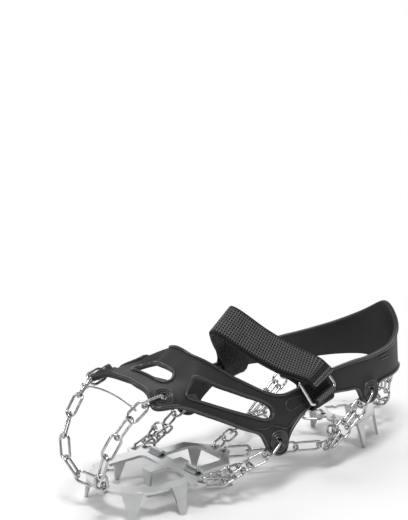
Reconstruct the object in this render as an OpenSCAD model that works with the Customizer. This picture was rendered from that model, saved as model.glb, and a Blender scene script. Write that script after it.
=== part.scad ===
// Ice cleat in its worn form: toothed steel plates under the sole, chains up the
// sides and a stretched moulded harness with an instep strap over the top.
// X runs from toe (-) to heel (+), the buckle is on the -Y side, the spike tips stand at Z = 0.

/* [Plates] */
// Thickness of the sheet steel plates
plate_t = 2; // [1.5:0.1:2.5]
// Height of the plates' underside above the spike tips
spike_h = 19; // [14:0.5:24]
// Lean of the outer spikes away from the plate
spike_lean = 12; // [0:1:20]
// Width of a spike's blunt tip
spike_tip_w = 1.6; // [1:0.1:3]
// Radius of the front plate's outer arch
front_r = 34; // [32:0.5:36]
// Distance between the toe holes and the heel plate's front holes
plate_span = 223; // [205:1:240]
// Diameter of the chain holes
hole_d = 4.6; // [4.2:0.1:5]
// Distance from the toe holes to the hinge line of the ball plate
hinge_a = 66.25; // [64:0.25:70]
// Length of the ball plate behind its hinge line
ball_l = 46; // [42:1:54]
// Width of each curled hinge hook
hook_w = 11.6; // [8:0.2:13]
// Radial clearance between a hook and the bar that it curls round
hook_gap = 0.3; // [0.2:0.05:0.5]

/* [Chains] */
// Wire diameter of the chain links
wire_d = 2; // [1.6:0.1:2.2]
// Outer width of a chain link
link_w = 10; // [9:0.2:11]
// Outer width of the slim links in the paired strands
slim_w = 7.2; // [6.8:0.2:8]
// Outer width of a cross ring in the paired strands
ring_w = 17; // [16:0.5:19]
// Outer width of the links that hang in the harness eyelets
eyelet_link_w = 11.6; // [11:0.2:13]
// Play between neighbouring links
link_play = 0.6; // [0.5:0.05:0.7]
// Wire diameter of the toe wire
toe_wire_d = 1.4; // [1:0.1:1.8]

/* [Harness] */
// Thickness of the moulded harness
sheet_t = 4.4; // [3.5:0.1:5]
// Diameter of the eyelet bosses
boss_d = 17; // [15:0.5:18]
// Thickness of the eyelet bosses
boss_t = 6; // [5:0.1:6.4]
// Bore of the eyelets
eyelet_d = 4.8; // [4.6:0.1:5.4]
// Half width of the heel cup
cup_w = 39; // [36:0.5:42]
// Rise of the heel cup's upper edge from the side to the rear
cup_rise = 25; // [15:1:30]

/* [Strap] */
// Width of the webbing
strap_w = 25; // [22:0.5:26]
// Thickness of the webbing
strap_t = 1.8; // [1.4:0.1:2.2]
// Wire diameter of the buckle ring
buckle_d = 2.6; // [2:0.1:3]
// Inner length of the buckle ring along the strap
buckle_l = 17.6; // [15:0.2:20]

/* [Hidden] */
$fn = 48;
eps = 0.01;

// Frame: X of the toe holes, so that the whole part is centred on the origin
toe_x = -137.51;
heel_x = toe_x + plate_span;
plate_top = spike_h + plate_t;
plate_mid = spike_h + plate_t / 2;

function unit(v) = v / norm(v);
function round2(v) = round(100 * v) / 100;
function mirrored(p, side) = [p[0], p[1] * side, p[2]];
function across(d, n) = unit(cross(n, d));
function placed(p) = [p[0] + toe_x, p[1], p[2]];

// Rigid frame with its X axis along d and its Z axis as near to n as can be
module frame_at(p, d, n) {
    s = across(d, n);
    m = cross(unit(d), s);
    u = unit(d);
    multmatrix([[u[0], s[0], m[0], p[0]],
                [u[1], s[1], m[1], p[1]],
                [u[2], s[2], m[2], p[2]],
                [0, 0, 0, 1]])
        children();
}

// Steel plates

front_spike_w = 16;
side_spike_w = 14;
tab_spike_w = 9.6;
ball_spike_w = 12;
heel_spike_w = 13.2;

arch_a = front_r - 5.5;
bar_front = 55.5;
bar_strip = 3.5;
bar_rear = hinge_a + bar_strip / 2;
hook_r = norm([bar_strip, plate_t]) / 2 + hook_gap;
slot_front = hinge_a - hook_r - plate_t - 0.5;
slot_rear = hinge_a - bar_strip / 2;
hook_y = 21.2;
hook_side_gap = 0.5;
toe_hole_y = 5.7;
tab_holes = [[57.7, 38.6], [65.9, 36.4]];
hole_lobe_r = 5.2;
tongue_a = 75;
tab_a = 40;
front_fold = [8.2, 25.2];
front_fold_turn = -53;
side_fold = [42, 35.9];

ball_y = 26.3;
ball_band = 8.8;
ball_end = hinge_a + ball_l;
ball_hole = [ball_end - 5, 5.3];
ball_fold = [ball_end - 12.3, 19];
ball_fold_turn = 40;

heel_holes_front = [0, 5.8];
heel_holes_rear = [50.7, 3.9];
heel_fold_1 = [10.9, 26.2];
heel_turn_1 = -20;
heel_fold_2 = [39.5, 12.9];
heel_turn_2 = -44;
// How far a spike's root lies inside the plate's faces
root_in = 0.1;

// One spike, folded down along its base and leaning outwards, cut flat at the ground.
// The fold lies along local X and local +Y points outwards.
module spike(w, lean) {
    reach = plate_top / cos(lean) + plate_t;
    difference() {
        translate([0, -root_in, plate_top - root_in])
            rotate([-(90 - lean), 0, 0])
                translate([0, 0, -plate_t])
                    linear_extrude(plate_t)
                        polygon([[-w / 2, 0], [w / 2, 0],
                                 [spike_tip_w / 2, reach], [-spike_tip_w / 2, reach]]);
        translate([-w, -2 * reach, -4 * reach])
            cube([2 * w, 4 * reach, 4 * reach]);
    }
}

module both_sides() {
    children();
    mirror([0, 1, 0])
        children();
}

// Places a spike on a fold given in plate coordinates
module on_fold(fold, turn) {
    translate([fold[0], fold[1], 0])
        rotate(turn)
            children();
}

// Removes what lies beyond a fold line
module beyond_fold(fold, turn, w) {
    translate(fold)
        rotate(turn)
            translate([-w / 2, 0])
                square([w, 3 * plate_t]);
}

module front_outline() {
    difference() {
        union() {
            translate([arch_a, 0])
                circle(r = front_r);
            translate([arch_a, -front_r])
                square([bar_rear - arch_a, 2 * front_r]);
            for (s = [-1, 1]) {
                translate([side_fold[0] - side_spike_w / 2, s > 0 ? 0 : -side_fold[1]])
                    square([side_spike_w, side_fold[1]]);
                for (h = tab_holes)
                    translate([h[0], s * h[1]])
                        circle(r = hole_lobe_r);
                polygon([[tab_holes[0][0] - hole_lobe_r, s * tab_holes[0][1]],
                         [tab_holes[0][0] - hole_lobe_r - 4, s * (front_r - 1)],
                         [tab_holes[1][0], s * (front_r - 4)],
                         [tab_holes[1][0], s * tab_holes[1][1]]]);
            }
            translate([bar_rear - 1, -tab_spike_w / 2])
                square([tongue_a - bar_rear + 1, tab_spike_w]);
        }
        front_opening();
        for (s = [-1, 1]) {
            translate([0, s * toe_hole_y])
                circle(d = hole_d);
            for (h = tab_holes)
                translate([h[0], s * h[1]])
                    circle(d = hole_d);
            translate([slot_front, s * hook_y - hook_w / 2 - hook_side_gap])
                square([slot_rear - slot_front, hook_w + 2 * hook_side_gap]);
        }
        beyond_fold(front_fold, front_fold_turn + 90, front_spike_w);
        mirror([0, 1])
            beyond_fold(front_fold, front_fold_turn + 90, front_spike_w);
    }
}

// Opening of the front plate: an arch, a wider rear part and the centre tab left standing
module front_opening() {
    inner_r = front_r - 12.7;
    inner_y = front_r - 8.5;
    step_a = 23;
    corner = 4;
    difference() {
        union() {
            intersection() {
                translate([arch_a, 0])
                    circle(r = inner_r);
                translate([0, -front_r])
                    square([step_a + eps, 2 * front_r]);
            }
            translate([step_a, -inner_y + corner])
                square([bar_front - step_a, 2 * (inner_y - corner)]);
            translate([step_a + corner, -inner_y])
                square([bar_front - step_a - 2 * corner, 2 * inner_y]);
            for (a = [step_a + corner, bar_front - corner], s = [-1, 1])
                translate([a, s * (inner_y - corner)])
                    circle(r = corner);
        }
        translate([tab_a, -tab_spike_w / 2])
            square([bar_front - tab_a + 1, tab_spike_w]);
        for (s = [-1, 1])
            translate([step_a - 1, s * (inner_r - 2)])
                circle(r = 2.2);
    }
}

module front_plate() {
    color("silver")
        translate([toe_x, 0, 0]) {
            translate([0, 0, spike_h])
                linear_extrude(plate_t)
                    front_outline();
            both_sides() {
                on_fold(front_fold, front_fold_turn + 90)
                    spike(front_spike_w, spike_lean);
                on_fold(side_fold, 0)
                    spike(side_spike_w, spike_lean);
            }
            on_fold([tab_a, 0], 90)
                spike(tab_spike_w, 0);
            on_fold([tongue_a, 0], -90)
                spike(tab_spike_w, 0);
        }
}

// U-shaped ball plate with two hooks curled round the front plate's rear bar
module ball_outline() {
    corner = 7;
    inner_y = ball_y - ball_band;
    inner_end = ball_end - 13.5;
    leg_front = hinge_a + hook_r;
    difference() {
        union() {
            polygon([[leg_front + 3, ball_y], [ball_end - 17, ball_y], [ball_end - 4, 10],
                     [ball_end - 4, -10], [ball_end - 17, -ball_y], [leg_front + 3, -ball_y]]);
            for (s = [-1, 1]) {
                translate([leg_front, s * hook_y - hook_w / 2])
                    square([8, hook_w]);
                translate([ball_hole[0], s * ball_hole[1]])
                    circle(r = hole_lobe_r);
            }
        }
        translate([leg_front - 1, -inner_y])
            square([inner_end - corner - leg_front + 1, 2 * inner_y]);
        translate([leg_front - 1, -inner_y + corner])
            square([inner_end - leg_front + 1, 2 * (inner_y - corner)]);
        for (s = [-1, 1]) {
            translate([inner_end - corner, s * (inner_y - corner)])
                circle(r = corner);
            translate([ball_hole[0], s * ball_hole[1]])
                circle(d = hole_d);
        }
    }
}

// Curled eye of a hook, open below the leg
module hook_eye() {
    outer = hook_r + plate_t;
    rotate([90, 0, 0])
        translate([0, 0, -hook_w / 2])
            linear_extrude(hook_w)
                difference() {
                    circle(r = outer);
                    circle(r = hook_r);
                    translate([0, -outer])
                        square([outer, outer - plate_t / 2]);
                }
}

module ball_plate() {
    color("silver")
        translate([toe_x, 0, 0]) {
            translate([0, 0, spike_h])
                linear_extrude(plate_t)
                    ball_outline();
            both_sides() {
                translate([hinge_a, hook_y, plate_mid])
                    hook_eye();
                on_fold(ball_fold, -ball_fold_turn)
                    spike(ball_spike_w, spike_lean);
            }
        }
}

module heel_outline() {
    difference() {
        union() {
            polygon([[-2, 9], [4.7, 28.4], [17, 23.9], [34.5, 17.6], [44.5, 8.1], [53, 6],
                     [53, -6], [44.5, -8.1], [34.5, -17.6], [17, -23.9], [4.7, -28.4], [-2, -9]]);
            for (s = [-1, 1]) {
                translate([heel_holes_front[0], s * heel_holes_front[1]])
                    circle(r = hole_lobe_r);
                translate([heel_holes_rear[0], s * heel_holes_rear[1]])
                    circle(r = hole_lobe_r);
            }
        }
        difference() {
            polygon([[6.5, 4], [12.5, 17], [18.5, 15], [33.7, 9.6], [41.5, 3.5],
                     [41.5, -3.5], [33.7, -9.6], [18.5, -15], [12.5, -17], [6.5, -4]]);
            for (s = [-1, 1], tooth = [[21, 13.6], [32, 9.6]])
                translate([tooth[0], s * tooth[1]])
                    circle(r = 2);
        }
        for (s = [-1, 1], h = [heel_holes_front, heel_holes_rear])
            translate([h[0], s * h[1]])
                circle(d = hole_d);
    }
}

module heel_plate() {
    color("silver")
        translate([heel_x, 0, 0]) {
            translate([0, 0, spike_h])
                linear_extrude(plate_t)
                    heel_outline();
            both_sides() {
                on_fold(heel_fold_1, heel_turn_1)
                    spike(heel_spike_w, spike_lean);
                on_fold(heel_fold_2, heel_turn_2)
                    spike(heel_spike_w, spike_lean);
            }
        }
}

// Chain links

wire_pitch = wire_d + link_play;

// Oblong link lying in the local XY plane, whose bows reach from x = 0 to x = length on the wire's axis
module oblong(length, width) {
    r = (width - wire_d) / 2;
    for (y = [-r, r])
        translate([r, y, 0])
            rotate([0, 90, 0])
                cylinder(d = wire_d, h = length - 2 * r);
    translate([r, 0, 0])
        rotate(90)
            rotate_extrude(angle = 180)
                translate([r, 0])
                    circle(d = wire_d);
    translate([length - r, 0, 0])
        rotate(-90)
            rotate_extrude(angle = 180)
                translate([r, 0])
                    circle(d = wire_d);
}

// Link between two contact points, turned about its own line by roll from lying flat against n
module link(p, q, n, roll, width) {
    frame_at(p, q - p, n)
        rotate([roll, 0, 0])
            translate([-wire_pitch / 2, 0, 0])
                oblong(round2(norm(q - p) + wire_pitch), width);
}

// Squarish ring between two contact points, lying flat against n
module cross_ring(p, q, n) {
    r = 3;
    half_y = (ring_w - wire_d) / 2;
    length = round2(norm(q - p) + wire_pitch);
    frame_at(p, q - p, n)
        translate([-wire_pitch / 2, 0, 0]) {
            for (x = [0, length])
                translate([x, -(half_y - r), 0])
                    rotate([-90, 0, 0])
                        cylinder(d = wire_d, h = 2 * (half_y - r));
            for (y = [-half_y, half_y])
                translate([r, y, 0])
                    rotate([0, 90, 0])
                        cylinder(d = wire_d, h = length - 2 * r);
            for (c = [[r, half_y - r, 90], [r, r - half_y, 180], [length - r, r - half_y, 270],
                      [length - r, half_y - r, 0]])
                translate([c[0], c[1], 0])
                    rotate(c[2])
                        rotate_extrude(angle = 90)
                            translate([r, 0])
                                circle(d = wire_d);
        }
}

// Links along a straight run, with one roll angle for each link
module run_of_links(p, q, n, rolls) {
    count = len(rolls);
    for (i = [0:count - 1])
        link(p + (q - p) * i / count, p + (q - p) * (i + 1) / count, n, rolls[i], link_w);
}

// Paired strands: two links from the anchors a and b to a cross ring that starts at p, then pairs of
// slim links and more rings up to q, where the eyelet link takes hold. The rings lie flat against n0 at
// the start and turn to lie flat against n1 at the end.
first_w = 9;
pair_y = 4.2;
slim_share = 1.33;

module paired_strands(a, b, p, q, n0, n1, rings, half_gap, first_width) {
    d = unit(q - p);
    ring_l = norm(q - p) / (rings + (rings - 1) * slim_share);
    step = ring_l * (1 + slim_share);
    function flat(t) = unit(n0 * (1 - t) + n1 * t);
    function aside(t) = across(d, flat(t)) * half_gap;
    side = (a - b) * aside(0) > 0 ? 1 : -1;
    for (e = [[a, side], [b, -side]]) {
        held = p - d * wire_pitch / 2 + aside(0) * e[1];
        link(e[0], held + unit(held - e[0]) * wire_pitch / 2, flat(0), 90, first_width);
    }
    for (i = [0:rings - 1]) {
        t0 = i / max(1, rings - 1);
        t1 = (i + 1) / max(1, rings - 1);
        cross_ring(p + d * i * step, p + d * (i * step + ring_l), flat(t0));
        if (i < rings - 1)
            for (side = [-1, 1])
                link(p + d * (i * step + ring_l) + aside(t0) * side,
                     p + d * (i + 1) * step + aside(t1) * side,
                     flat((t0 + t1) / 2), 90, slim_w);
    }
}

// Where a link's bow lies in the middle of a plate's hole and the link runs towards q
function in_hole(h, q) = h + unit(q - h) * wire_pitch / 2;

// Places that the chains run between, for the far side (+Y). The near side is their mirror image.
toe_hole = [toe_x, toe_hole_y, plate_mid];
ball_rear_hole = [toe_x + ball_hole[0], ball_hole[1], plate_mid];
heel_front_hole = [heel_x, heel_holes_front[1], plate_mid];
heel_rear_hole = [heel_x + heel_holes_rear[0], heel_holes_rear[1], plate_mid];
tab_hole_front = [toe_x + tab_holes[0][0], tab_holes[0][1], plate_mid];
tab_hole_rear = [toe_x + tab_holes[1][0], tab_holes[1][1], plate_mid];
up = [0, 0, 1];

// Heel cup: place of its sides' ends, depth to the rear and height of its rear eyelet
cup_x = 225;
cup_l = 63;
cup_mid_z = 60;

// Eyelets: centre, outward axis and direction in which the chain pulls
toe_eyelet = placed([27, 34.5, 88.5]);
toe_axis = unit([-0.25, 0.62, 0.74]);
toe_pull = [-17, -4, -4];
mid_eyelet = placed([119, 51.5, 41]);
mid_axis = unit([0, 0.98, 0.17]);
mid_pull = [-0.8, 0, -0.6];
heel_eyelet = placed([223, 42.5, 55]);
heel_axis = unit([0.05, 0.99, 0.1]);
heel_pull = [-0.66, 0, -0.75];
rear_eyelet = placed([cup_x + cup_l, 0, cup_mid_z]);
rear_axis = [1, 0, 0];
rear_pull = [0.05, 0, -1];

eyelet_reach = 14.5;
eyelet_seat = 0.6;

function square_to(v, axis) = unit(v - axis * (v * axis));
function hanging_end(c, pull, axis) = c + square_to(pull, axis) * eyelet_reach;

// Link through an eyelet, standing on edge to the harness so that it straddles the boss
module eyelet_link(c, pull, axis) {
    d = square_to(pull, axis);
    color("gainsboro")
        frame_at(c - d * eyelet_seat, d, axis)
            rotate([90, 0, 0])
                oblong(round2(eyelet_reach + eyelet_seat + wire_pitch / 2), eyelet_link_w);
}

module near_side()
    mirror([0, 1, 0])
        children();

// Toe chains: links that lie nearly flat, up round the toe to the front eyelets.
// Each link but the first lies against the direction from the heart of the toe.
toe_heart = placed([30, 15, 55]);
toe_turns = [[-10, 14.5, 25.5], [-15.5, 21, 38], [-14, 25, 52.5], [-7, 28, 66], [2.5, 30.2, 77.5]];
toe_stops = concat([in_hole(toe_hole, placed(toe_turns[0]))],
                   [for (p = toe_turns) placed(p)],
                   [hanging_end(toe_eyelet, toe_pull, toe_axis)]);
toe_rolls = [90, -36, 30, -30, 30, -22];
toe_last = len(toe_rolls) - 1;
function toe_normal(i) = i == 0 ? up : (toe_stops[i] + toe_stops[i + 1]) / 2 - toe_heart;

module toe_chain_far()
    color("gainsboro")
        for (i = [0:toe_last])
            link(toe_stops[i], toe_stops[i + 1], toe_normal(i), toe_rolls[i], link_w);

module toe_chain_near() near_side() toe_chain_far();

module toe_link_far() eyelet_link(toe_eyelet, toe_pull, toe_axis);

module toe_link_near() near_side() toe_link_far();

// Paired strands from the front plate's side tabs. Their rings lie flat under the sole's edge, and one
// link that stands on edge joins the last ring to the eyelet link.
mid_start = placed([75, 43, plate_mid + 0.8]);
mid_end = hanging_end(mid_eyelet, mid_pull, mid_axis);
mid_dir = unit(mid_end - mid_start);
mid_join_l = 14.6;
mid_top = mid_end - mid_dir * mid_join_l;
mid_flat = unit(cross(mid_dir, mid_axis));
tab_flat = [0, 0.2, 0.98];

module mid_strands_far()
    color("gainsboro") {
        paired_strands(in_hole(tab_hole_front, mid_start), in_hole(tab_hole_rear, mid_start),
                       mid_start, mid_top, tab_flat, mid_flat, 2, pair_y, first_w);
        link(mid_top, mid_end, mid_flat, 90, link_w);
    }

module mid_strands_near() near_side() mid_strands_far();

module mid_link_far() eyelet_link(mid_eyelet, mid_pull, mid_axis);

module mid_link_near() near_side() mid_link_far();

// Chains that cross the arch of the foot, joined at a corner link on each side.
// The chains pull at the corner link's bows in their own directions.
corner_mid = placed([182, 40, plate_mid]);
corner_l = 18;
bow_r = (link_w - wire_d) / 2;
bow_front = corner_mid - [corner_l / 2 - bow_r, 0, 0];
bow_rear = corner_mid + [corner_l / 2 - bow_r, 0, 0];
arch_front_end = bow_front - unit(bow_front - ball_rear_hole) * (bow_r - wire_pitch / 2);
arch_rear_start = bow_rear + unit(heel_front_hole - bow_rear) * (bow_r - wire_pitch / 2);

module arch_front_far()
    color("gainsboro")
        run_of_links(in_hole(ball_rear_hole, bow_front), arch_front_end, up, [90, 20, -42, 70]);

module arch_front_near() near_side() arch_front_far();

module corner_link_far()
    color("gainsboro")
        translate(corner_mid - [corner_l / 2, 0, 0])
            oblong(corner_l, link_w);

module corner_link_near() near_side() corner_link_far();

module arch_rear_far()
    color("gainsboro")
        run_of_links(arch_rear_start, in_hole(heel_front_hole, bow_rear), up, [90, 0, 90]);

module arch_rear_near() near_side() arch_rear_far();

// Paired strands from the corner link's outer leg
heel_pair_y = 3;
heel_grip = 2.6;
heel_first_l = 11.5;

module heel_strands_far() {
    leg = corner_mid + [0, bow_r, 0];
    q = hanging_end(heel_eyelet, heel_pull, heel_axis);
    d = unit(q - leg);
    hold = leg - d * (wire_pitch / norm([d[1], d[2]]) - wire_pitch / 2);
    color("gainsboro")
        paired_strands(hold - [heel_grip, 0, 0], hold + [heel_grip, 0, 0],
                       hold + d * (heel_first_l + heel_grip), q,
                       heel_axis, heel_axis, 2, heel_pair_y, slim_w);
}

module heel_strands_near() near_side() heel_strands_far();

module heel_link_far() eyelet_link(heel_eyelet, heel_pull, heel_axis);

module heel_link_near() near_side() heel_link_far();

rear_reach = 11.3;
rear_start = [heel_rear_hole[0] + rear_reach, 0, plate_mid + 2.4];
rear_stop = rear_start + [0, heel_holes_rear[1], 0];

module rear_strands() {
    anchor = in_hole(heel_rear_hole, rear_stop);
    color("gainsboro")
        paired_strands(anchor, mirrored(anchor, -1), rear_start,
                       hanging_end(rear_eyelet, rear_pull, rear_axis),
                       rear_axis, rear_axis, 2, pair_y, first_w);
}

module rear_link() eyelet_link(rear_eyelet, rear_pull, rear_axis);

// Thin wire over the toe with an eye at each end, round the inner leg of a toe chain's top link
wire_eye_r = 2.3;
wire_rise = 3;
top_link_mid = (toe_stops[toe_last] + toe_stops[toe_last + 1]) / 2;
top_link_dir = unit(toe_stops[toe_last + 1] - toe_stops[toe_last]);
top_link_side = across(top_link_dir, toe_normal(toe_last));
top_link_up = cross(top_link_dir, top_link_side);
top_roll = toe_rolls[toe_last];
wire_eye = top_link_mid - bow_r * (cos(top_roll) * top_link_side + sin(top_roll) * top_link_up);

module wire_end()
    frame_at(wire_eye, [0, -1, 0] - top_link_dir * (top_link_dir * [0, -1, 0]), top_link_dir)
        rotate_extrude()
            translate([wire_eye_r, 0])
                circle(d = toe_wire_d);

module toe_wire() {
    end = wire_eye + wire_eye_r * square_to([0, -1, 0], top_link_dir);
    r = (end[1] * end[1] + wire_rise * wire_rise) / (2 * wire_rise);
    half = asin(end[1] / r);
    color("gainsboro") {
        translate([end[0], 0, end[2] + wire_rise - r])
            rotate([0, -90, 0])
                rotate(-half)
                    rotate_extrude(angle = 2 * half, $fn = 96)
                        translate([r, 0])
                            circle(d = toe_wire_d);
        both_sides()
            wire_end();
    }
}

// Moulded harness: a cage of faces on the middle surface of one half, made thick along its normals

// Point on the heel cup at turn t from the side (0) to the rear (90) and height z
cup_lean = 0.12;
cup_turns = [24, 38, 52, 65, 78, 90];
cup_low = [58, 58, 58, 57.5, 54, 49];
cup_side_top = 81;
cup_swell = [0.09, 0.21, 0.39, 0.6, 0.85, 1];
cup_high = [for (k = cup_swell) cup_side_top + cup_rise * k];
function cup_point(t, z) = [cup_x + cup_l * sin(t) - cup_lean * (z - cup_mid_z), cup_w * cos(t), z];

toe_points = [[24, 0, 92], [22, 11, 92], [21, 24, 90.5], [16.5, 35.5, 84.5], [22, 42, 84], [32, 43, 83],
              [38, 0, 93.5], [38, 10, 93], [41, 18, 91.5], [49, 17, 92.5], [54, 10, 95.5], [51, 0, 98],
              [27, 34.5, 88.5], [38, 29, 90.5], [37, 38, 86.5]];
top_edge = [[69, 0, 107], [71, 12, 104], [78, 19, 99.5], [85, 25, 94.5], [93, 30, 88.5], [103, 34, 82.5],
            [113, 37.5, 76.5], [126, 40, 71], [138, 40.5, 70], [152, 40, 71.8], [164, 39, 73.8],
            [176, 38.5, 77], [188, 39, 79], [200, 39.5, 80.2], [212, 39.5, 80.8], [225, 39, 81],
            [63, 22, 98]];
slot_top = [[54, 31, 92], [61, 29, 94], [73, 33, 88], [80, 35, 84.3], [88, 37, 80.5], [98, 39.3, 75.6],
            [107, 41.2, 71.5], [115, 43.5, 67], [118, 45.5, 62]];
slot_low = [[45, 37, 87], [52, 38.5, 82.5], [66, 41, 76.5], [82, 43.5, 69.5], [101, 46, 61.5], [110, 47, 58],
            [116, 47, 58.5]];
low_edge = [[43, 43, 79], [57, 44.5, 72], [73, 46.5, 64], [92, 48.5, 54], [102.5, 49.5, 49],
            [107.5, 50.5, 42], [112, 51.5, 34], [120, 52, 30], [127, 51.5, 32], [130, 50.5, 40],
            [137, 49.5, 47.5],
            [146, 48.5, 54], [156, 48, 58.7], [166, 47.5, 61.2], [177, 46.5, 62.4], [188, 45, 61.5],
            [199, 43.5, 60], [208, 43, 58.5], [213, 42.8, 52], [218, 42.5, 46], [226, 42, 44.8],
            [232.5, 41, 49.5], [236, 39, 57]];
inner_points = [[119, 51.5, 41], [112, 49.5, 50], [126, 49, 50], [131, 45.5, 60], [223, 42.5, 55],
                [212, 41.5, 66], [228, 40, 68]];
cup_points = [for (i = [0:5])
                  for (z = [cup_low[i], (cup_low[i] + cup_high[i]) / 2, cup_high[i]])
                      cup_point(cup_turns[i], z)];
half_points = concat(toe_points, top_edge, slot_top, slot_low, low_edge, inner_points, cup_points);

toe_faces = [[0, 1, 7, 6], [1, 2, 8, 7], [2, 13, 8], [12, 2, 3, 4], [12, 4, 5, 14], [12, 14, 13, 2],
             [14, 5, 48, 41], [13, 14, 41, 32], [8, 13, 32, 9], [11, 10, 16, 15], [10, 9, 31, 16],
             [9, 32, 33, 31], [31, 33, 34, 17], [16, 31, 17]];
arm_faces = concat([for (i = [0:4]) [17 + i, 34 + i, 35 + i, 18 + i]],
                   [for (i = [0:3]) [41 + i, 48 + i, 49 + i, 42 + i]],
                   [for (i = [0:4]) [23 + i, 59 + i, 60 + i, 24 + i]]);
lobe_faces = [[45, 52, 72, 46], [52, 53, 71, 72], [53, 54, 55, 71], [71, 55, 56, 57], [72, 71, 57, 73],
              [46, 72, 73, 47], [47, 73, 74, 40], [73, 57, 58, 74], [39, 40, 74, 22], [22, 74, 23],
              [74, 58, 59, 23], [28, 64, 76, 29], [64, 65, 75, 76], [65, 66, 67, 75], [75, 67, 68, 69],
              [75, 69, 70, 77], [76, 75, 77], [29, 76, 77, 30], [30, 77, 79, 80], [77, 70, 78, 79]];
cup_faces = [for (i = [0:4], r = [0, 1])
                 let (a = 78 + 3 * i + r) [a + 1, a, a + 3, a + 4]];
half_faces = concat(toe_faces, arm_faces, lobe_faces, cup_faces);

// Both halves, which share the points on the mid plane
half_count = len(half_points);
cage_points = [for (p = concat(half_points, [for (q = half_points) mirrored(q, -1)])) placed(p)];
function other_side(i) = half_points[i][1] == 0 ? i : i + half_count;
cage_faces = concat(half_faces, [for (f = half_faces) [for (k = [len(f) - 1:-1:0]) other_side(f[k])]]);

function face_normal(f) =
    let (p = cage_points)
    len(f) == 3 ? cross(p[f[2]] - p[f[0]], p[f[1]] - p[f[0]]) : cross(p[f[3]] - p[f[1]], p[f[2]] - p[f[0]]);
function has(f, i) = len([for (k = f) if (k == i) k]) > 0;
function sum(v) = [for (k = [0:2]) [for (i = v) i[k]] * [for (i = v) 1]];
normals_of_faces = [for (f = cage_faces) face_normal(f)];
cage_normals = [for (i = [0:2 * half_count - 1])
                    let (around = [for (k = [0:len(cage_faces) - 1])
                                       if (has(cage_faces[k], i)) normals_of_faces[k]])
                    len(around) == 0 ? [0, 0, 1] : unit(sum(around))];
edge_list = [for (f = cage_faces) for (k = [0:len(f) - 1]) [f[k], f[(k + 1) % len(f)]]];
rim = [for (e = edge_list) if (len([for (o = edge_list) if (o[0] == e[1] && o[1] == e[0]) 1]) == 0) e];

module harness_sheet() {
    n = 2 * half_count;
    outer = [for (i = [0:n - 1]) cage_points[i] + cage_normals[i] * sheet_t / 2];
    inner = [for (i = [0:n - 1]) cage_points[i] - cage_normals[i] * sheet_t / 2];
    tops = [for (f = cage_faces) for (k = [1:len(f) - 2]) [f[0], f[k], f[k + 1]]];
    unders = [for (f = tops) [n + f[2], n + f[1], n + f[0]]];
    walls = [for (e = rim) for (w = [[e[1], e[0], n + e[0]], [e[1], n + e[0], n + e[1]]]) w];
    polyhedron(concat(outer, inner), concat(tops, unders, walls));
}

eyelets = [[toe_eyelet, toe_axis], [mid_eyelet, mid_axis], [heel_eyelet, heel_axis]];

// Stands a shape on an eyelet's axis
module on_eyelet(e)
    frame_at(e[0], cross([0, 1, 0.3], e[1]), e[1])
        children();

module every_eyelet() {
    for (e = eyelets)
        both_sides()
            on_eyelet(e)
                children();
    translate(rear_eyelet)
        rotate([0, 90, 0])
            children();
}

module harness()
    color("dimgray")
        difference() {
            union() {
                harness_sheet();
                every_eyelet()
                    translate([0, 0, -boss_t / 2])
                        cylinder(d = boss_d, h = boss_t);
            }
            every_eyelet()
                translate([0, 0, -2 * boss_t])
                    cylinder(d = eyelet_d, h = 4 * boss_t);
        }

// Instep strap: webbing through stations of [middle, direction across the webbing], from the buckle side

ring_low = placed([163.8, -52.6, 65.8]);
ring_dir = unit([0.93, 0.15, 0.302]);
ring_side = square_to([-7.5, 8.2, 17], ring_dir);
ring_out = cross(ring_dir, ring_side);
ring_bar_l = strap_w + 1.2 + buckle_d;
ring_side_l = buckle_l + buckle_d;
ring_high = ring_low + ring_side * ring_side_l;
loop_gap = 0.9;
loop_r = buckle_d / 2 + loop_gap;
layer_gap = 0.2;
layer = strap_t + layer_gap;

flank = [[[141.6, 31, 94], [0.78, -0.21, 0.59]], [[127, 18, 105.2], [0.74, -0.18, 0.648]],
         [[117.5, 10, 114], [0.74, -0.1, 0.66]], [[113, 4.5, 118.4], [0.74, -0.04, 0.667]]];
crest = [[111.5, 0, 119.8], [0.74, 0, 0.67]];
arm_dir = [0.97, -0.06, 0.22];

function station(s, side) = [placed(mirrored(s[0], side)), unit(mirrored(s[1], side))];
near_flank = [for (s = flank) station(s, -1)];
far_flank = [for (i = [len(flank) - 1:-1:0]) station(flank[i], 1)];
loop_up = unit(cross(ring_dir, near_flank[0][0] - ring_high));
over = concat([[ring_high + loop_up * (loop_r + strap_t / 2), ring_dir]], near_flank,
              [station(crest, 1)], far_flank);

// The far arm of the harness, which the webbing goes round
wrap = [for (p = [[156, 34.6, 72.6], [158.5, 38, 66], [160, 42.3, 58.2], [160.5, 46.8, 54.6],
                  [160.5, 51, 58], [160, 50.9, 64.6], [158.5, 48.2, 70.6], [155.5, 44, 77.6]])
            [placed(p), unit(arm_dir)]];

function along(s, i) = unit(s[min(i + 1, len(s) - 1)][0] - s[max(i - 1, 0)][0]);
function raised(s, h) =
    [for (i = [0:len(s) - 1]) [s[i][0] + unit(cross(s[i][1], along(s, i))) * h, s[i][1]]];
function reversed(s) = [for (i = [len(s) - 1:-1:0]) s[i]];

// Flat webbing along stations
module webbing(s, width) {
    n = len(s);
    corners = [for (i = [0:n - 1])
                   let (t = along(s, i), w = s[i][1], m = unit(cross(w, t)) * strap_t / 2)
                   for (c = [[-1, -1], [1, -1], [1, 1], [-1, 1]]) s[i][0] + w * c[0] * width / 2 + m * c[1]];
    sides = [for (i = [0:n - 2]) for (k = [0:3])
                 let (a = 4 * i + k, b = 4 * i + (k + 1) % 4)
                 for (f = [[a, b, b + 4], [a, b + 4, a + 4]]) f];
    first = [[0, 3, 2], [0, 2, 1]];
    last = [for (f = [[0, 1, 2], [0, 2, 3]]) [for (k = f) 4 * (n - 1) + k]];
    polyhedron(corners, concat(sides, first, last));
}

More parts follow.
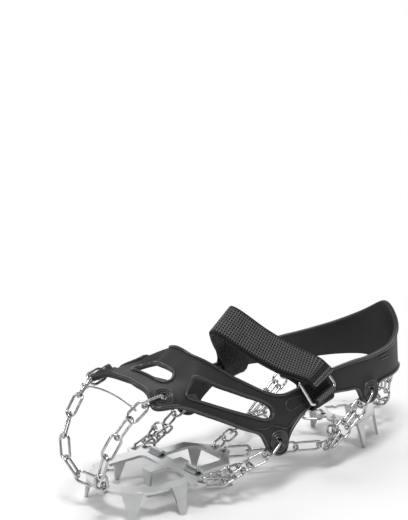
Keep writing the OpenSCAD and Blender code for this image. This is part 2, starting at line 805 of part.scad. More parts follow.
// Upper layer, from the far arm back over the instep; its free end starts at the peel line
upper = raised(over, layer);
peel_at = 2;
upper_kept = [for (i = [peel_at:len(upper) - 1]) upper[i]];
peel_point = upper[peel_at][0];
end_reach = 12;
end_dir = along(upper, 0);
upper_end = concat([[upper[0][0] - end_dir * end_reach, ring_dir]], [for (i = [0:peel_at - 1]) upper[i]],
                   [[upper[peel_at][0] - along(upper, peel_at) * 0.1, upper[peel_at][1]]]);

module strap()
    color("black")
        union() {
            webbing(concat(over, wrap, reversed(upper_kept)), strap_w);
            frame_at(ring_high - ring_dir * strap_w / 2, ring_side, ring_dir)
                difference() {
                    cylinder(r = loop_r + strap_t, h = strap_w);
                    translate([0, 0, -1])
                        cylinder(r = loop_r, h = strap_w + 2);
                }
        }

module strap_end()
    color("black")
        webbing(upper_end, strap_w);

// Rectangular wire ring between the keeper and the strap
ring_corner_r = 3;

module buckle_ring()
    color("silver")
        frame_at(ring_low, ring_dir, ring_out) {
            half = ring_bar_l / 2;
            r = ring_corner_r;
            for (y = [0, ring_side_l])
                translate([-half + r, y, 0])
                    rotate([0, 90, 0])
                        cylinder(d = buckle_d, h = 2 * (half - r));
            for (x = [-half, half])
                translate([x, r, 0])
                    rotate([-90, 0, 0])
                        cylinder(d = buckle_d, h = ring_side_l - 2 * r);
            for (c = [[half - r, ring_side_l - r, 0], [r - half, ring_side_l - r, 90],
                      [r - half, r, 180], [half - r, r, 270]])
                translate([c[0], c[1], 0])
                    rotate(c[2])
                        rotate_extrude(angle = 90)
                            translate([r, 0])
                                circle(d = buckle_d);
        }

// Webbing sleeve round the near arm, with a tunnel for the ring's lower bar
keeper_mid = placed([163.5, -43.2, 67.4]);
keeper_dir = unit([0.97, 0.06, 0.22]);
keeper_up = square_to([0, 0.533, 0.846], keeper_dir);
keeper_out = cross(keeper_dir, keeper_up);
keeper_w = 22;
keeper_t = 1.5;
keeper_r = 3.4;
keeper_top = 9.3;
keeper_foot = 11;
bar_fit = 0.3;

// Long round-ended section of the sleeve: X is outwards and Y is down along the arm's face
module keeper_section(r) {
    rise = keeper_top - keeper_r;
    fall = keeper_foot - keeper_r;
    translate([-r, -rise])
        square([2 * r, rise + fall]);
    for (y = [-rise, fall])
        translate([0, y])
            circle(r = r);
}

module keeper_sleeve(r, length)
    frame_at(keeper_mid - keeper_dir * length / 2, keeper_out, keeper_dir)
        linear_extrude(length)
            keeper_section(r);

module ring_tunnel(r, length)
    frame_at(ring_low - ring_dir * length / 2, ring_out, ring_dir)
        cylinder(r = r, h = length);

module ring_keeper()
    color("black")
        difference() {
            union() {
                keeper_sleeve(keeper_r + keeper_t, keeper_w);
                ring_tunnel(buckle_d / 2 + bar_fit + keeper_t, keeper_w);
            }
            keeper_sleeve(keeper_r, 2 * keeper_w);
            ring_tunnel(buckle_d / 2 + bar_fit, 2 * keeper_w);
        }

front_plate();
ball_plate();
heel_plate();
toe_chain_near();
toe_chain_far();
toe_link_near();
toe_link_far();
mid_strands_near();
mid_strands_far();
mid_link_near();
mid_link_far();
arch_front_near();
arch_front_far();
corner_link_near();
corner_link_far();
arch_rear_near();
arch_rear_far();
heel_strands_near();
heel_strands_far();
heel_link_near();
heel_link_far();
rear_strands();
rear_link();
toe_wire();
harness();
strap();
strap_end();
buckle_ring();
ring_keeper();
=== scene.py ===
"""Looks of an ice cleat: spiked steel plates and chains under a moulded harness with an instep strap."""

import math

import bpy
import numpy as np
from mathutils import Matrix, Vector, bvhtree, kdtree


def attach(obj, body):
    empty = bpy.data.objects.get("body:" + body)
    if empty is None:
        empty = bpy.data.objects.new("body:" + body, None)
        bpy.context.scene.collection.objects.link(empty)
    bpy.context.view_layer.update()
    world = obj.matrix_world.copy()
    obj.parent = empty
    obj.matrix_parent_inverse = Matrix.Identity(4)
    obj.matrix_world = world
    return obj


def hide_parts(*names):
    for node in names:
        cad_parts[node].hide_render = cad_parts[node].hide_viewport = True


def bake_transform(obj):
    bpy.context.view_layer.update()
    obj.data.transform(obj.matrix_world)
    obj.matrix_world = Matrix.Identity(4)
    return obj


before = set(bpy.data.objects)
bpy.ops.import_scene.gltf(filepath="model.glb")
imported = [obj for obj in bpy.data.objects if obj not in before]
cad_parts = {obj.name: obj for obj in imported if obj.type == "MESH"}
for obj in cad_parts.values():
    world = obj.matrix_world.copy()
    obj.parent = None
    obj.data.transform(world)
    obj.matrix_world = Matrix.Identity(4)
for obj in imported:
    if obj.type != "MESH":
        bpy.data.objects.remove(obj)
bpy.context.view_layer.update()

# Sizes are in millimetres, with x counted from the toe holes; part_points moves them into the frame.
TOE_X = -137.51
MM = 0.001

# A direction that no tube starts along, from which its first ring is laid out
TUBE_START = (0.31, 0.52, 0.79)


def part_points(points):
    """Points in millimetres from the toe holes, as points in the shared frame."""
    return np.array(points, float) + np.array([TOE_X, 0, 0])


def mirrored(points, side):
    """Points or directions as written where side is 1, and on the near side where it is -1."""
    return np.array(points, float) * [1, side, 1]


def unit(v):
    """The direction of v, with length 1."""
    v = np.array(v, float)
    return v / np.linalg.norm(v)


def square_to(v, axis):
    """The direction of v once its share along the axis is taken out."""
    v = np.array(v, float)
    return unit(v - axis * v.dot(axis))


# Mesh helpers


def mesh_piece(name, points_mm, faces, body=None, uv_mm=None):
    """A smooth mesh object from points in millimetres; UVs and the body it rides on are optional."""
    mesh = bpy.data.meshes.new(name)
    points = [tuple(p) for p in np.array(points_mm, float) * MM]
    mesh.from_pydata(points, [], [tuple(map(int, f)) for f in faces])
    if uv_mm is not None:
        layer = mesh.uv_layers.new(name="weave")
        corners = np.array([uv_mm[loop.vertex_index] for loop in mesh.loops], float)
        layer.data.foreach_set("uv", corners.ravel())
    mesh.update()
    mesh.polygons.foreach_set("use_smooth", [True] * len(mesh.polygons))
    piece = bpy.data.objects.new(name, mesh)
    bpy.context.collection.objects.link(piece)
    if body:
        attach(piece, body)
    return piece


def spline(points, per_span):
    """Centripetal curve through points, with per_span steps in each span."""
    p = np.array(points, float)
    p = np.vstack([2 * p[0] - p[1], p, 2 * p[-1] - p[-2]])
    out = []
    for i in range(1, len(p) - 2):
        a, b, c, d = p[i - 1 : i + 3]
        t0 = 0.0
        t1 = t0 + np.linalg.norm(b - a) ** 0.5
        t2 = t1 + np.linalg.norm(c - b) ** 0.5
        t3 = t2 + np.linalg.norm(d - c) ** 0.5
        for k in range(per_span):
            t = t1 + (t2 - t1) * k / per_span
            ab = a * (t1 - t) / (t1 - t0) + b * (t - t0) / (t1 - t0)
            bc = b * (t2 - t) / (t2 - t1) + c * (t - t1) / (t2 - t1)
            cd = c * (t3 - t) / (t3 - t2) + d * (t - t2) / (t3 - t2)
            abc = ab * (t2 - t) / (t2 - t0) + bc * (t - t0) / (t2 - t0)
            bcd = bc * (t3 - t) / (t3 - t1) + cd * (t - t1) / (t3 - t1)
            out.append(abc * (t2 - t) / (t2 - t1) + bcd * (t - t1) / (t2 - t1))
    out.append(p[-2])
    return np.array(out)


def evenly(values, per_span):
    """Straight steps between values, with per_span steps in each span."""
    v = np.array(values, float)
    steps = [a + (b - a) * k / per_span for a, b in zip(v, v[1:]) for k in range(per_span)]
    return np.array(steps + [v[-1]])


def tangents(path, closed=False):
    """Directions along a path at each of its points."""
    if closed:
        ahead = np.roll(path, -1, axis=0) - np.roll(path, 1, axis=0)
    else:
        ahead = np.gradient(path, axis=0)
    return np.array([unit(v) for v in ahead])


def smoothed(path, rounds, closed=True):
    """A path with each point moved halfway to the middle of its neighbours, once in each round."""
    path = np.array(path, float)
    for _ in range(rounds):
        mid = (np.roll(path, 1, axis=0) + np.roll(path, -1, axis=0)) / 2
        if not closed:
            mid[0], mid[-1] = path[0], path[-1]
        path = (path + mid) / 2
    return path


def swept_faces(rows, count, closed=False, flip=False):
    """Quads between rows of count points each; closed joins the last row to the first one."""
    faces = []
    for i in range(rows if closed else rows - 1):
        j = (i + 1) % rows
        for k in range(count):
            m = (k + 1) % count
            quad = (i * count + k, i * count + m, j * count + m, j * count + k)
            faces.append(quad[:1] + quad[:0:-1] if flip else quad)
    return faces


def end_faces(rows, count, flip=False):
    """The faces that shut both ends of rows of count points each."""
    first = tuple(range(count))
    last = tuple(range((rows - 1) * count, rows * count))
    return [first, last[::-1]] if flip else [first[::-1], last]


def tube(path, radius, sides, closed=False):
    """Points and faces of a round tube along a path in millimetres."""
    path = np.array(path, float)
    along = tangents(path, closed)
    turns = np.arange(sides) * 2 * math.pi / sides
    side = square_to(TUBE_START, along[0])
    rings = []
    for p, t in zip(path, along):
        side = square_to(side, t)
        up = np.cross(t, side)
        rings.append(p + radius * (np.cos(turns)[:, None] * side + np.sin(turns)[:, None] * up))
    faces = swept_faces(len(path), sides, closed)
    if not closed:
        faces += end_faces(len(path), sides)
    return np.vstack(rings), faces


def joined(parts):
    """One list of points and faces from several."""
    points, faces, base = [], [], 0
    for p, f in parts:
        points.append(p)
        faces.extend([tuple(i + base for i in face) for face in f])
        base += len(p)
    return np.vstack(points), faces


# Materials


class Look:
    """A node material on one principled shader, whose sockets start from the values given."""

    def __init__(self, name, **values):
        self.material = bpy.data.materials.new(name)
        self.material.use_nodes = True
        self.tree = self.material.node_tree
        self.shader = self.tree.nodes["Principled BSDF"]
        for key, value in values.items():
            socket = key.replace("_", " ").title().replace("Ior", "IOR")
            self.shader.inputs[socket].default_value = value

    def node(self, kind, **settings):
        node = self.tree.nodes.new(kind)
        for key, value in settings.items():
            setattr(node, key, value)
        return node

    def link(self, a, b):
        self.tree.links.new(a, b)

    def place(self, scale=(1, 1, 1)):
        """The object's coordinates in metres, stretched by scale."""
        where = self.node("ShaderNodeTexCoord")
        mapping = self.node("ShaderNodeMapping")
        mapping.inputs["Scale"].default_value = scale
        self.link(where.outputs["Object"], mapping.inputs["Vector"])
        return mapping.outputs["Vector"]

    def noise(self, place, scale, detail, roughness):
        noise = self.node("ShaderNodeTexNoise")
        noise.inputs["Scale"].default_value = scale
        noise.inputs["Detail"].default_value = detail
        noise.inputs["Roughness"].default_value = roughness
        self.link(place, noise.inputs["Vector"])
        return noise.outputs["Fac"]

    def ramp(self, fac, low, high, start=0.3, end=0.7):
        """Colours from low to high as the factor goes from start to end."""
        ramp = self.node("ShaderNodeValToRGB")
        for stop, at, colour in zip(ramp.color_ramp.elements, (start, end), (low, high)):
            stop.position = at
            stop.color = (*colour, 1)
        self.link(fac, ramp.inputs["Fac"])
        return ramp.outputs["Color"]

    def span(self, fac, low, high, start=0.3, end=0.7):
        """A number from low to high as the factor goes from start to end."""
        span = self.node("ShaderNodeMapRange")
        for key, value in (("From Min", start), ("From Max", end), ("To Min", low), ("To Max", high)):
            span.inputs[key].default_value = value
        self.link(fac, span.inputs["Value"])
        return span.outputs["Result"]

    def math(self, operation, a, b=None):
        """The result of an operation on one or two sockets or numbers."""
        node = self.node("ShaderNodeMath", operation=operation)
        for socket, value in zip(node.inputs, (a, b)):
            if value is None:
                continue
            if isinstance(value, (int, float)):
                socket.default_value = value
            else:
                self.link(value, socket)
        return node.outputs[0]

    def bump(self, height, strength, depth_mm, normal=None):
        bump = self.node("ShaderNodeBump")
        bump.inputs["Strength"].default_value = strength
        bump.inputs["Distance"].default_value = depth_mm * MM
        self.link(height, bump.inputs["Height"])
        if normal is not None:
            self.link(normal, bump.inputs["Normal"])
        return bump.outputs["Normal"]

    def colour(self, socket):
        self.link(socket, self.shader.inputs["Base Color"])

    def rough(self, socket):
        self.link(socket, self.shader.inputs["Roughness"])

    def normal(self, socket):
        self.link(socket, self.shader.inputs["Normal"])


def stamped_steel():
    """Rolled sheet with fine grain, faint smears and eased edges."""
    look = Look("stamped_steel", metallic=1.0, roughness=0.36)
    smear = look.noise(look.place(), scale=34.0, detail=6.0, roughness=0.6)
    grain = look.noise(look.place((1, 14, 14)), scale=420.0, detail=3.0, roughness=0.7)
    look.colour(look.ramp(smear, (0.45, 0.455, 0.46), (0.62, 0.625, 0.63), start=0.32, end=0.66))
    mixed = look.math("ADD", look.math("MULTIPLY", smear, 0.7), look.math("MULTIPLY", grain, 0.3))
    look.rough(look.span(mixed, 0.26, 0.46))
    edge = look.node("ShaderNodeBevel", samples=4)
    edge.inputs["Radius"].default_value = 0.35 * MM
    look.normal(look.bump(grain, strength=0.12, depth_mm=0.06, normal=edge.outputs["Normal"]))
    return look.material


def welded_wire():
    """Zinc-bright chain wire, slightly uneven."""
    look = Look("welded_wire", metallic=1.0, roughness=0.22)
    place = look.place()
    patch = look.noise(place, scale=120.0, detail=5.0, roughness=0.6)
    fine = look.noise(place, scale=900.0, detail=2.0, roughness=0.6)
    look.colour(look.ramp(patch, (0.31, 0.315, 0.32), (0.58, 0.58, 0.58), start=0.3, end=0.62))
    look.rough(look.span(patch, 0.15, 0.30))
    look.normal(look.bump(fine, strength=0.1, depth_mm=0.08))
    return look.material


def plated_ring():
    """Nickel-plated wire with light rub marks."""
    look = Look("plated_ring", metallic=1.0, roughness=0.2)
    rub = look.noise(look.place(), scale=240.0, detail=6.0, roughness=0.7)
    look.colour(look.ramp(rub, (0.58, 0.57, 0.55), (0.76, 0.745, 0.72)))
    look.rough(look.span(rub, 0.15, 0.32))
    look.normal(look.bump(rub, strength=0.06, depth_mm=0.06))
    return look.material


def moulded_elastomer(name, smoothest, roughest, specular):
    """Soft black moulding with a fine matt grain and a dusty bloom."""
    look = Look(name, roughness=(smoothest + roughest) / 2, specular_ior_level=specular)
    place = look.place()
    bloom = look.noise(place, scale=22.0, detail=5.0, roughness=0.55)
    grain = look.noise(place, scale=1600.0, detail=2.0, roughness=0.6)
    look.colour(look.ramp(bloom, (0.017, 0.017, 0.018), (0.028, 0.028, 0.029)))
    look.rough(look.span(bloom, smoothest, roughest))
    look.normal(look.bump(grain, strength=0.2, depth_mm=0.1))
    return look.material


class Weave(Look):
    """Webbing whose UVs are millimetres across and along it."""

    def __init__(self, name):
        super().__init__(name, roughness=0.8, specular_ior_level=0.16, sheen_weight=0.1, sheen_roughness=0.5)
        where = self.node("ShaderNodeTexCoord")
        split = self.node("ShaderNodeSeparateXYZ")
        self.link(where.outputs["UV"], split.inputs[0])
        self.across, self.along = split.outputs[0], split.outputs[1]
        self.fibre = self.noise(self.place(), scale=2600.0, detail=2.0, roughness=0.7)
        self.patch = self.noise(self.place(), scale=90.0, detail=3.0, roughness=0.6)

    def yarns(self, distance, pitch, width, soft):
        """1 on a yarn and 0 between yarns, which lie a pitch apart; soft is the share of a pitch between."""
        turn = self.math("FRACT", self.math("DIVIDE", distance, pitch))
        away = self.math("ABSOLUTE", self.math("SUBTRACT", turn, 0.5))
        return self.span(away, 1.0, 0.0, width / pitch / 2, width / pitch / 2 + soft)


# The strap's width, its pale yarns, and the gaps where the crosswise yarns show most
STRAP_W = 25.0
YARN_PITCH = 2.05
YARN_W = 0.4
YARN_SOFT = 0.12
GAP_SHIFT = 1.02
GAP_W = 1.3


def grid_webbing():
    """Black webbing with a grid of pale yarns, black selvedges and a black hem at the free end."""
    look = Weave("grid_webbing")
    weft = look.yarns(look.along, YARN_PITCH, YARN_W, YARN_SOFT)
    warp = look.yarns(look.across, YARN_PITCH, YARN_W, YARN_SOFT)
    gaps = look.yarns(look.math("ADD", look.across, GAP_SHIFT), YARN_PITCH, GAP_W, YARN_SOFT)
    crosswise = look.math("MULTIPLY", weft, look.span(gaps, 0.3, 1.0, start=0, end=1))
    pale = look.math("MAXIMUM", crosswise, look.math("MULTIPLY", warp, 0.8))
    inset = look.math("MINIMUM", look.across, look.math("SUBTRACT", STRAP_W, look.across))
    pale = look.math("MULTIPLY", pale, look.span(inset, 0.1, 1.0, start=1.2, end=1.9))
    hem = look.span(look.along, 0.2, 1.0, start=8.5, end=10.0)
    shade = look.math("MULTIPLY", look.math("MULTIPLY", pale, hem), look.span(look.patch, 0.75, 1.1))
    shade = look.math("ADD", look.math("MULTIPLY", shade, 0.85), look.math("MULTIPLY", look.fibre, 0.22))
    look.colour(look.ramp(shade, (0.005, 0.005, 0.0055), (0.135, 0.135, 0.131), start=0.12, end=1.0))
    height = look.math("ADD", look.math("MAXIMUM", weft, warp), look.math("MULTIPLY", look.fibre, 0.4))
    look.normal(look.bump(height, strength=0.8, depth_mm=0.35))
    return look.material


def plain_webbing():
    """Black webbing with fine close ribs, with a painted highlight on its raised yarns and painted shade
    between them, over random patches and fibres of tone.
    """
    look = Weave("plain_webbing")
    ribs = look.yarns(look.along, pitch=1.2, width=0.5, soft=0.2)
    warp = look.yarns(look.across, pitch=1.5, width=0.6, soft=0.2)
    height = look.math("ADD", look.math("MULTIPLY", ribs, warp), look.math("MULTIPLY", look.fibre, 0.5))
    # The colour follows the rib height: a painted highlight on the raised yarns and painted shade between
    # them; the patches and fibres are random tone.
    shade = look.math("MULTIPLY", height, look.span(look.patch, 0.7, 1.1))
    look.colour(look.ramp(shade, (0.006, 0.006, 0.007), (0.030, 0.030, 0.031), start=0.1, end=1.0))
    look.normal(look.bump(height, strength=0.8, depth_mm=0.3))
    return look.material


def ribbed_webbing():
    """Black webbing with broad smooth ridges across it, with a painted highlight on the ridges and painted
    shade in the grooves.
    """
    look = Weave("ribbed_webbing")
    ridges = look.yarns(look.along, pitch=2.5, width=0.9, soft=0.3)
    fine = look.yarns(look.across, pitch=0.9, width=0.35, soft=0.2)
    height = look.math("ADD", ridges, look.math("MULTIPLY", look.math("ADD", fine, look.fibre), 0.15))
    # The colour follows the ridge height: a painted highlight on the ridges and painted shade in the grooves;
    # the patches, fine yarns and fibres are random tone.
    shade = look.math("MULTIPLY", height, look.span(look.patch, 0.7, 1.1))
    look.colour(look.ramp(shade, (0.004, 0.004, 0.0045), (0.024, 0.024, 0.025), start=0.1, end=1.0))
    look.normal(look.bump(height, strength=0.9, depth_mm=0.6))
    return look.material


def sewing_thread():
    """Grey twisted thread."""
    look = Look("sewing_thread", roughness=0.6, sheen_weight=0.3)
    twist = look.noise(look.place(), scale=3000.0, detail=2.0, roughness=0.6)
    look.colour(look.ramp(twist, (0.11, 0.11, 0.111), (0.24, 0.24, 0.237)))
    look.normal(look.bump(twist, strength=0.4, depth_mm=0.1))
    return look.material


STEEL = stamped_steel()
WIRE = welded_wire()
RING = plated_ring()
ELASTOMER = moulded_elastomer("moulded_elastomer", smoothest=0.48, roughest=0.62, specular=0.28)
LIP = moulded_elastomer("rubbed_elastomer", smoothest=0.26, roughest=0.38, specular=0.7)
UPPER_WEB = grid_webbing()
UNDER_WEB = plain_webbing()
KEEPER_WEB = ribbed_webbing()
THREAD = sewing_thread()


def dress(node, material):
    """Gives a CAD node a material in each of its slots."""
    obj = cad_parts[node]
    if not obj.material_slots:
        obj.data.materials.append(material)
    for slot in obj.material_slots:
        slot.material = material


for node in ("front_plate", "ball_plate", "heel_plate"):
    dress(node, STEEL)
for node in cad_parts:
    if any(word in node for word in ("chain", "link", "strands", "arch", "wire")):
        dress(node, WIRE)
dress("buckle_ring", RING)
dress("harness", ELASTOMER)
for node in ("strap", "strap_end", "ring_keeper"):
    dress(node, UNDER_WEB)

# Harness: the same cage as the solid, rounded by subdivision, with beads along its edges

CUP_START_X = 225
CUP_DEPTH = 63
CUP_HALF_W = 39
CUP_LEAN = 0.12
CUP_EYE_Z = 60
CUP_TURNS = (24, 38, 52, 65, 78, 90)
CUP_LOW = (58, 58, 58, 57.5, 54, 49)
CUP_SIDE_Z = 81
CUP_RISE = 25
CUP_HIGH = [CUP_SIDE_Z + CUP_RISE * share for share in (0.09, 0.21, 0.39, 0.6, 0.85, 1)]


def cup_point(turn, z):
    """A point of the heel cup, a turn in degrees from its side to its back."""
    a = math.radians(turn)
    y = 0.0 if turn == 90 else CUP_HALF_W * math.cos(a)
    return [CUP_START_X + CUP_DEPTH * math.sin(a) - CUP_LEAN * (z - CUP_EYE_Z), y, z]


TOE_POINTS = [[24, 0, 92], [22, 11, 92], [21, 24, 90.5], [16.5, 35.5, 84.5], [22, 42, 84], [32, 43, 83],
              [38, 0, 93.5], [38, 10, 93], [41, 18, 91.5], [49, 17, 92.5], [54, 10, 95.5], [51, 0, 98],
              [27, 34.5, 88.5], [38, 29, 90.5], [37, 38, 86.5]]
TOP_EDGE = [[69, 0, 107], [71, 12, 104], [78, 19, 99.5], [85, 25, 94.5], [93, 30, 88.5], [103, 34, 82.5],
            [113, 37.5, 76.5], [126, 40, 71], [138, 40.5, 70], [152, 40, 71.8], [164, 39, 73.8],
            [176, 38.5, 77], [188, 39, 79], [200, 39.5, 80.2], [212, 39.5, 80.8], [225, 39, 81], [63, 22, 98]]
SLOT_TOP = [[54, 31, 92], [61, 29, 94], [73, 33, 88], [80, 35, 84.3], [88, 37, 80.5], [98, 39.3, 75.6],
            [107, 41.2, 71.5], [115, 43.5, 67], [118, 45.5, 62]]
SLOT_LOW = [[45, 37, 87], [52, 38.5, 82.5], [66, 41, 76.5], [82, 43.5, 69.5], [101, 46, 61.5], [110, 47, 58],
            [116, 47, 58.5]]
LOW_EDGE = [[43, 43, 79], [57, 44.5, 72], [73, 46.5, 64], [92, 48.5, 54], [102.5, 49.5, 49],
            [107.5, 50.5, 42], [112, 51.5, 34], [120, 52, 30], [127, 51.5, 32], [130, 50.5, 40],
            [137, 49.5, 47.5], [146, 48.5, 54], [156, 48, 58.7], [166, 47.5, 61.2], [177, 46.5, 62.4],
            [188, 45, 61.5], [199, 43.5, 60], [208, 43, 58.5], [213, 42.8, 52], [218, 42.5, 46],
            [226, 42, 44.8], [232.5, 41, 49.5], [236, 39, 57]]
INNER_POINTS = [[119, 51.5, 41], [112, 49.5, 50], [126, 49, 50], [131, 45.5, 60], [223, 42.5, 55],
                [212, 41.5, 66], [228, 40, 68]]
CUP_POINTS = [cup_point(turn, z) for turn, low, high in zip(CUP_TURNS, CUP_LOW, CUP_HIGH)
              for z in (low, (low + high) / 2, high)]
HALF_POINTS = TOE_POINTS + TOP_EDGE + SLOT_TOP + SLOT_LOW + LOW_EDGE + INNER_POINTS + CUP_POINTS

# Faces by their points' numbers in HALF_POINTS
TOE_FACES = [[0, 1, 7, 6], [1, 2, 8, 7], [2, 13, 8], [12, 2, 3, 4], [12, 4, 5, 14], [12, 14, 13, 2],
             [14, 5, 48, 41], [13, 14, 41, 32], [8, 13, 32, 9], [11, 10, 16, 15], [10, 9, 31, 16],
             [9, 32, 33, 31], [31, 33, 34, 17], [16, 31, 17]]
ARM_FACES = ([[17 + i, 34 + i, 35 + i, 18 + i] for i in range(5)]
             + [[41 + i, 48 + i, 49 + i, 42 + i] for i in range(4)]
             + [[23 + i, 59 + i, 60 + i, 24 + i] for i in range(5)])
LOBE_FACES = [[45, 52, 72, 46], [52, 53, 71, 72], [53, 54, 55, 71], [71, 55, 56, 57], [72, 71, 57, 73],
              [46, 72, 73, 47], [47, 73, 74, 40], [73, 57, 58, 74], [39, 40, 74, 22], [22, 74, 23],
              [74, 58, 59, 23], [28, 64, 76, 29], [64, 65, 75, 76], [65, 66, 67, 75], [75, 67, 68, 69],
              [75, 69, 70, 77], [76, 75, 77], [29, 76, 77, 30], [30, 77, 79, 80], [77, 70, 78, 79]]
CUP_FACES = [[a + 1, a, a + 3, a + 4] for i in range(5) for a in (78 + 3 * i, 79 + 3 * i)]

# Eyelets: middle, axis outwards, radius of the boss
BORE_R = 2.4
BOSS_R = 8.5
TOE_BOSS_R = 7.0
EYELETS = [([27, 34.5, 88.5], [-0.25, 0.62, 0.74], TOE_BOSS_R), ([119, 51.5, 41], [0, 0.98, 0.17], BOSS_R),
           ([223, 42.5, 55], [0.05, 0.99, 0.1], BOSS_R), ([288, 0, CUP_EYE_Z], [1, 0, 0], BOSS_R)]

# Outline of a boss of full size: distance from its axis, height along it
BOSS_OUTLINE = [(2.4, -2.5), (2.4, 2.4), (2.6, 2.85), (3.0, 3.0), (3.5, 3.0), (3.8, 2.6), (4.05, 2.1),
                (4.4, 1.95), (4.7, 2.2), (5.0, 2.8), (5.4, 3.0), (5.8, 2.85), (6.1, 2.3), (6.5, 2.0),
                (6.8, 2.2), (7.1, 2.7), (7.6, 2.9), (8.1, 2.65), (8.5, 1.9), (8.5, -2.0), (8.2, -2.6),
                (7.6, -2.95), (3.0, -2.95), (2.6, -2.85)]
BOSS_STEPS = 48
BOSS_START = (0.2, 0.3, 1.0)

# The sheet: its fit to the cage, its faces' distance from its middle surface, its rims as [outwards, up]
SHEET_LEVELS = 4
FIT_ROUNDS = 6
FIT_SHARE = 0.8
OUTER_LIFT = 0.85
INNER_DROP = 1.9
RIM_STEPS = ((0.44, 1.275), (0.68, 0.0), (0.44, -1.53))

# How far an eyelet reaches along its axis, and the distance that stands for no eyelet near
EYE_DEPTH = 7.0
FAR = 99.0

# Round each boss: a thicker pad, a low collar on its edge, and a hole in the sheet that the boss covers
PAD_R = 9.0
PAD_FADE = 2.0
PAD_LIFT = 1.8
COLLAR_R = 10.0
COLLAR_W = 0.9
COLLAR_H = 0.4
COLLAR_FADE = 2.0
HOLE_R = 7.0

# Beads along the edges
BEAD_R = 1.15
BEAD_SIDES = 10
BEAD_ROUNDS = 3
BEAD_INSET = 0.55
BEAD_RISE = 1.2

# Raised lines on the outer face: the step above each side eyelet, the outline on the arm, marks on the cup
LINE_R = 0.75
LINE_SIDES = 8
LINE_ROUNDS = 2
LINE_STEPS = 8
ARM_STEP = [[98, 50.5, 54.5], [103.5, 50.5, 53], [109.5, 51, 52], [117, 51, 53], [125, 51.5, 49],
            [131.5, 51, 48.5], [141, 50, 53.5], [151.5, 49, 58.5]]
ARM_OUTLINE = [[148.5, 44.5, 67], [144, 44.5, 67], [136, 44.5, 66.5], [133, 45.5, 64.5],
               [132.5, 47, 61.5], [135.5, 47.5, 59], [140, 47.5, 59.5], [148.5, 47, 62.5]]
CUP_MARKS = [[[238, 40, 78], [242, 39, 78], [246, 38, 78.5]],
             [[239.5, 40, 75], [244.5, 39, 75], [249.5, 37.5, 75]]]
RAISED_LINES = [(line, side) for line in [ARM_STEP, ARM_OUTLINE] + CUP_MARKS for side in (1, -1)]


def whole_cage():
    """Both halves of the cage, which share the points on the mid plane."""
    n = len(HALF_POINTS)
    half = TOE_FACES + ARM_FACES + LOBE_FACES + CUP_FACES
    near = [[i if HALF_POINTS[i][1] == 0 else i + n for i in reversed(f)] for f in half]
    points = part_points(HALF_POINTS + [[x, -y, z] for x, y, z in HALF_POINTS])
    faces = [list(reversed(f)) for f in half + near]
    used = sorted({i for f in faces for i in f})
    number = {old: new for new, old in enumerate(used)}
    return points[used], [[number[i] for i in f] for f in faces]


def subdivided(points, faces, levels):
    """Points, faces and normals of a cage rounded by subdivision."""
    mesh = bpy.data.meshes.new("cage")
    mesh.from_pydata([tuple(p) for p in points], [], faces)
    cage = bpy.data.objects.new("cage", mesh)
    bpy.context.collection.objects.link(cage)
    rounding = cage.modifiers.new("rounding", "SUBSURF")
    rounding.levels = levels
    rounding.boundary_smooth = "ALL"
    graph = bpy.context.evaluated_depsgraph_get()
    shape = cage.evaluated_get(graph).to_mesh()
    fine = np.empty(3 * len(shape.vertices))
    shape.vertices.foreach_get("co", fine)
    quads = [tuple(p.vertices) for p in shape.polygons]
    normals = np.array([v.normal[:] for v in shape.vertices])
    bpy.data.objects.remove(cage)
    bpy.data.meshes.remove(mesh)
    return fine.reshape(-1, 3), quads, normals


def smooth_sheet():
    """The harness's middle surface, whose cage is moved until the surface passes near the points given."""
    target, faces = whole_cage()
    cage = target.copy()
    for _ in range(FIT_ROUNDS):
        rounded = subdivided(cage, faces, 1)[0][: len(target)]
        cage += FIT_SHARE * (target - rounded)
    return subdivided(cage, faces, SHEET_LEVELS)


def rim_edges(faces):
    """Boundary edges in face order."""
    seen = {edge: True for f in faces for edge in zip(f, f[1:] + f[:1])}
    return [(a, b) for a, b in seen if (b, a) not in seen]


def closed_loops(onward):
    """The rims as lists of points in order, from a map of each point to the next one."""
    left = dict(onward)
    loops = []
    while left:
        start, at = left.popitem()
        loop = [start]
        while at != start:
            loop.append(at)
            at = left.pop(at)
        loops.append(loop)
    return loops


def rim_distance(points, rim):
    """Distance of each point from the nearest point of the rims."""
    tree = kdtree.KDTree(len(rim))
    for k, i in enumerate(rim):
        tree.insert(Vector(points[i]), k)
    tree.balance()
    return np.array([tree.find(Vector(p))[2] for p in points])


def rim_outwards(points, normals, onward):
    """Direction out of the sheet at each point of the rims."""
    sideways = {}
    for a, b in onward.items():
        away = unit(np.cross(points[b] - points[a], normals[a]))
        sideways.setdefault(a, []).append(away)
        sideways.setdefault(b, []).append(away)
    return {i: unit(np.mean(both, axis=0)) for i, both in sideways.items()}


def all_eyelets():
    """Middle, outward axis and boss radius of every eyelet in the frame."""
    out = []
    for middle, axis, boss_r in EYELETS:
        for side in (1, -1) if middle[1] else (1,):
            out.append((part_points(mirrored(middle, side)), unit(mirrored(axis, side)), boss_r))
    return out


def eyelet_distance(points, eyes):
    """Distance of each point from the nearest eyelet's axis, scaled as if each boss had the full size."""
    nearest = np.full(len(points), FAR)
    for centre, axis, boss_r in eyes:
        offset = points - centre
        height = offset @ axis
        radial = np.linalg.norm(offset - height[:, None] * axis, axis=1) * BOSS_R / boss_r
        nearest = np.minimum(nearest, np.where(np.abs(height) < EYE_DEPTH, radial, FAR))
    return nearest


def boss_lathe(centre, axis, boss_r):
    """Thick ring round an eyelet, with raised rings on its outer face and a rounded bore."""
    spread = (boss_r - BORE_R) / (BOSS_R - BORE_R)
    outline = [(BORE_R + (r - BORE_R) * spread, z) for r, z in BOSS_OUTLINE]
    u = square_to(BOSS_START, axis)
    v = np.cross(axis, u)
    points = []
    for k in range(BOSS_STEPS):
        a = 2 * math.pi * k / BOSS_STEPS
        side = math.cos(a) * u + math.sin(a) * v
        points.extend(centre + r * side + z * axis for r, z in outline)
    return np.array(points), swept_faces(BOSS_STEPS, len(outline), closed=True)


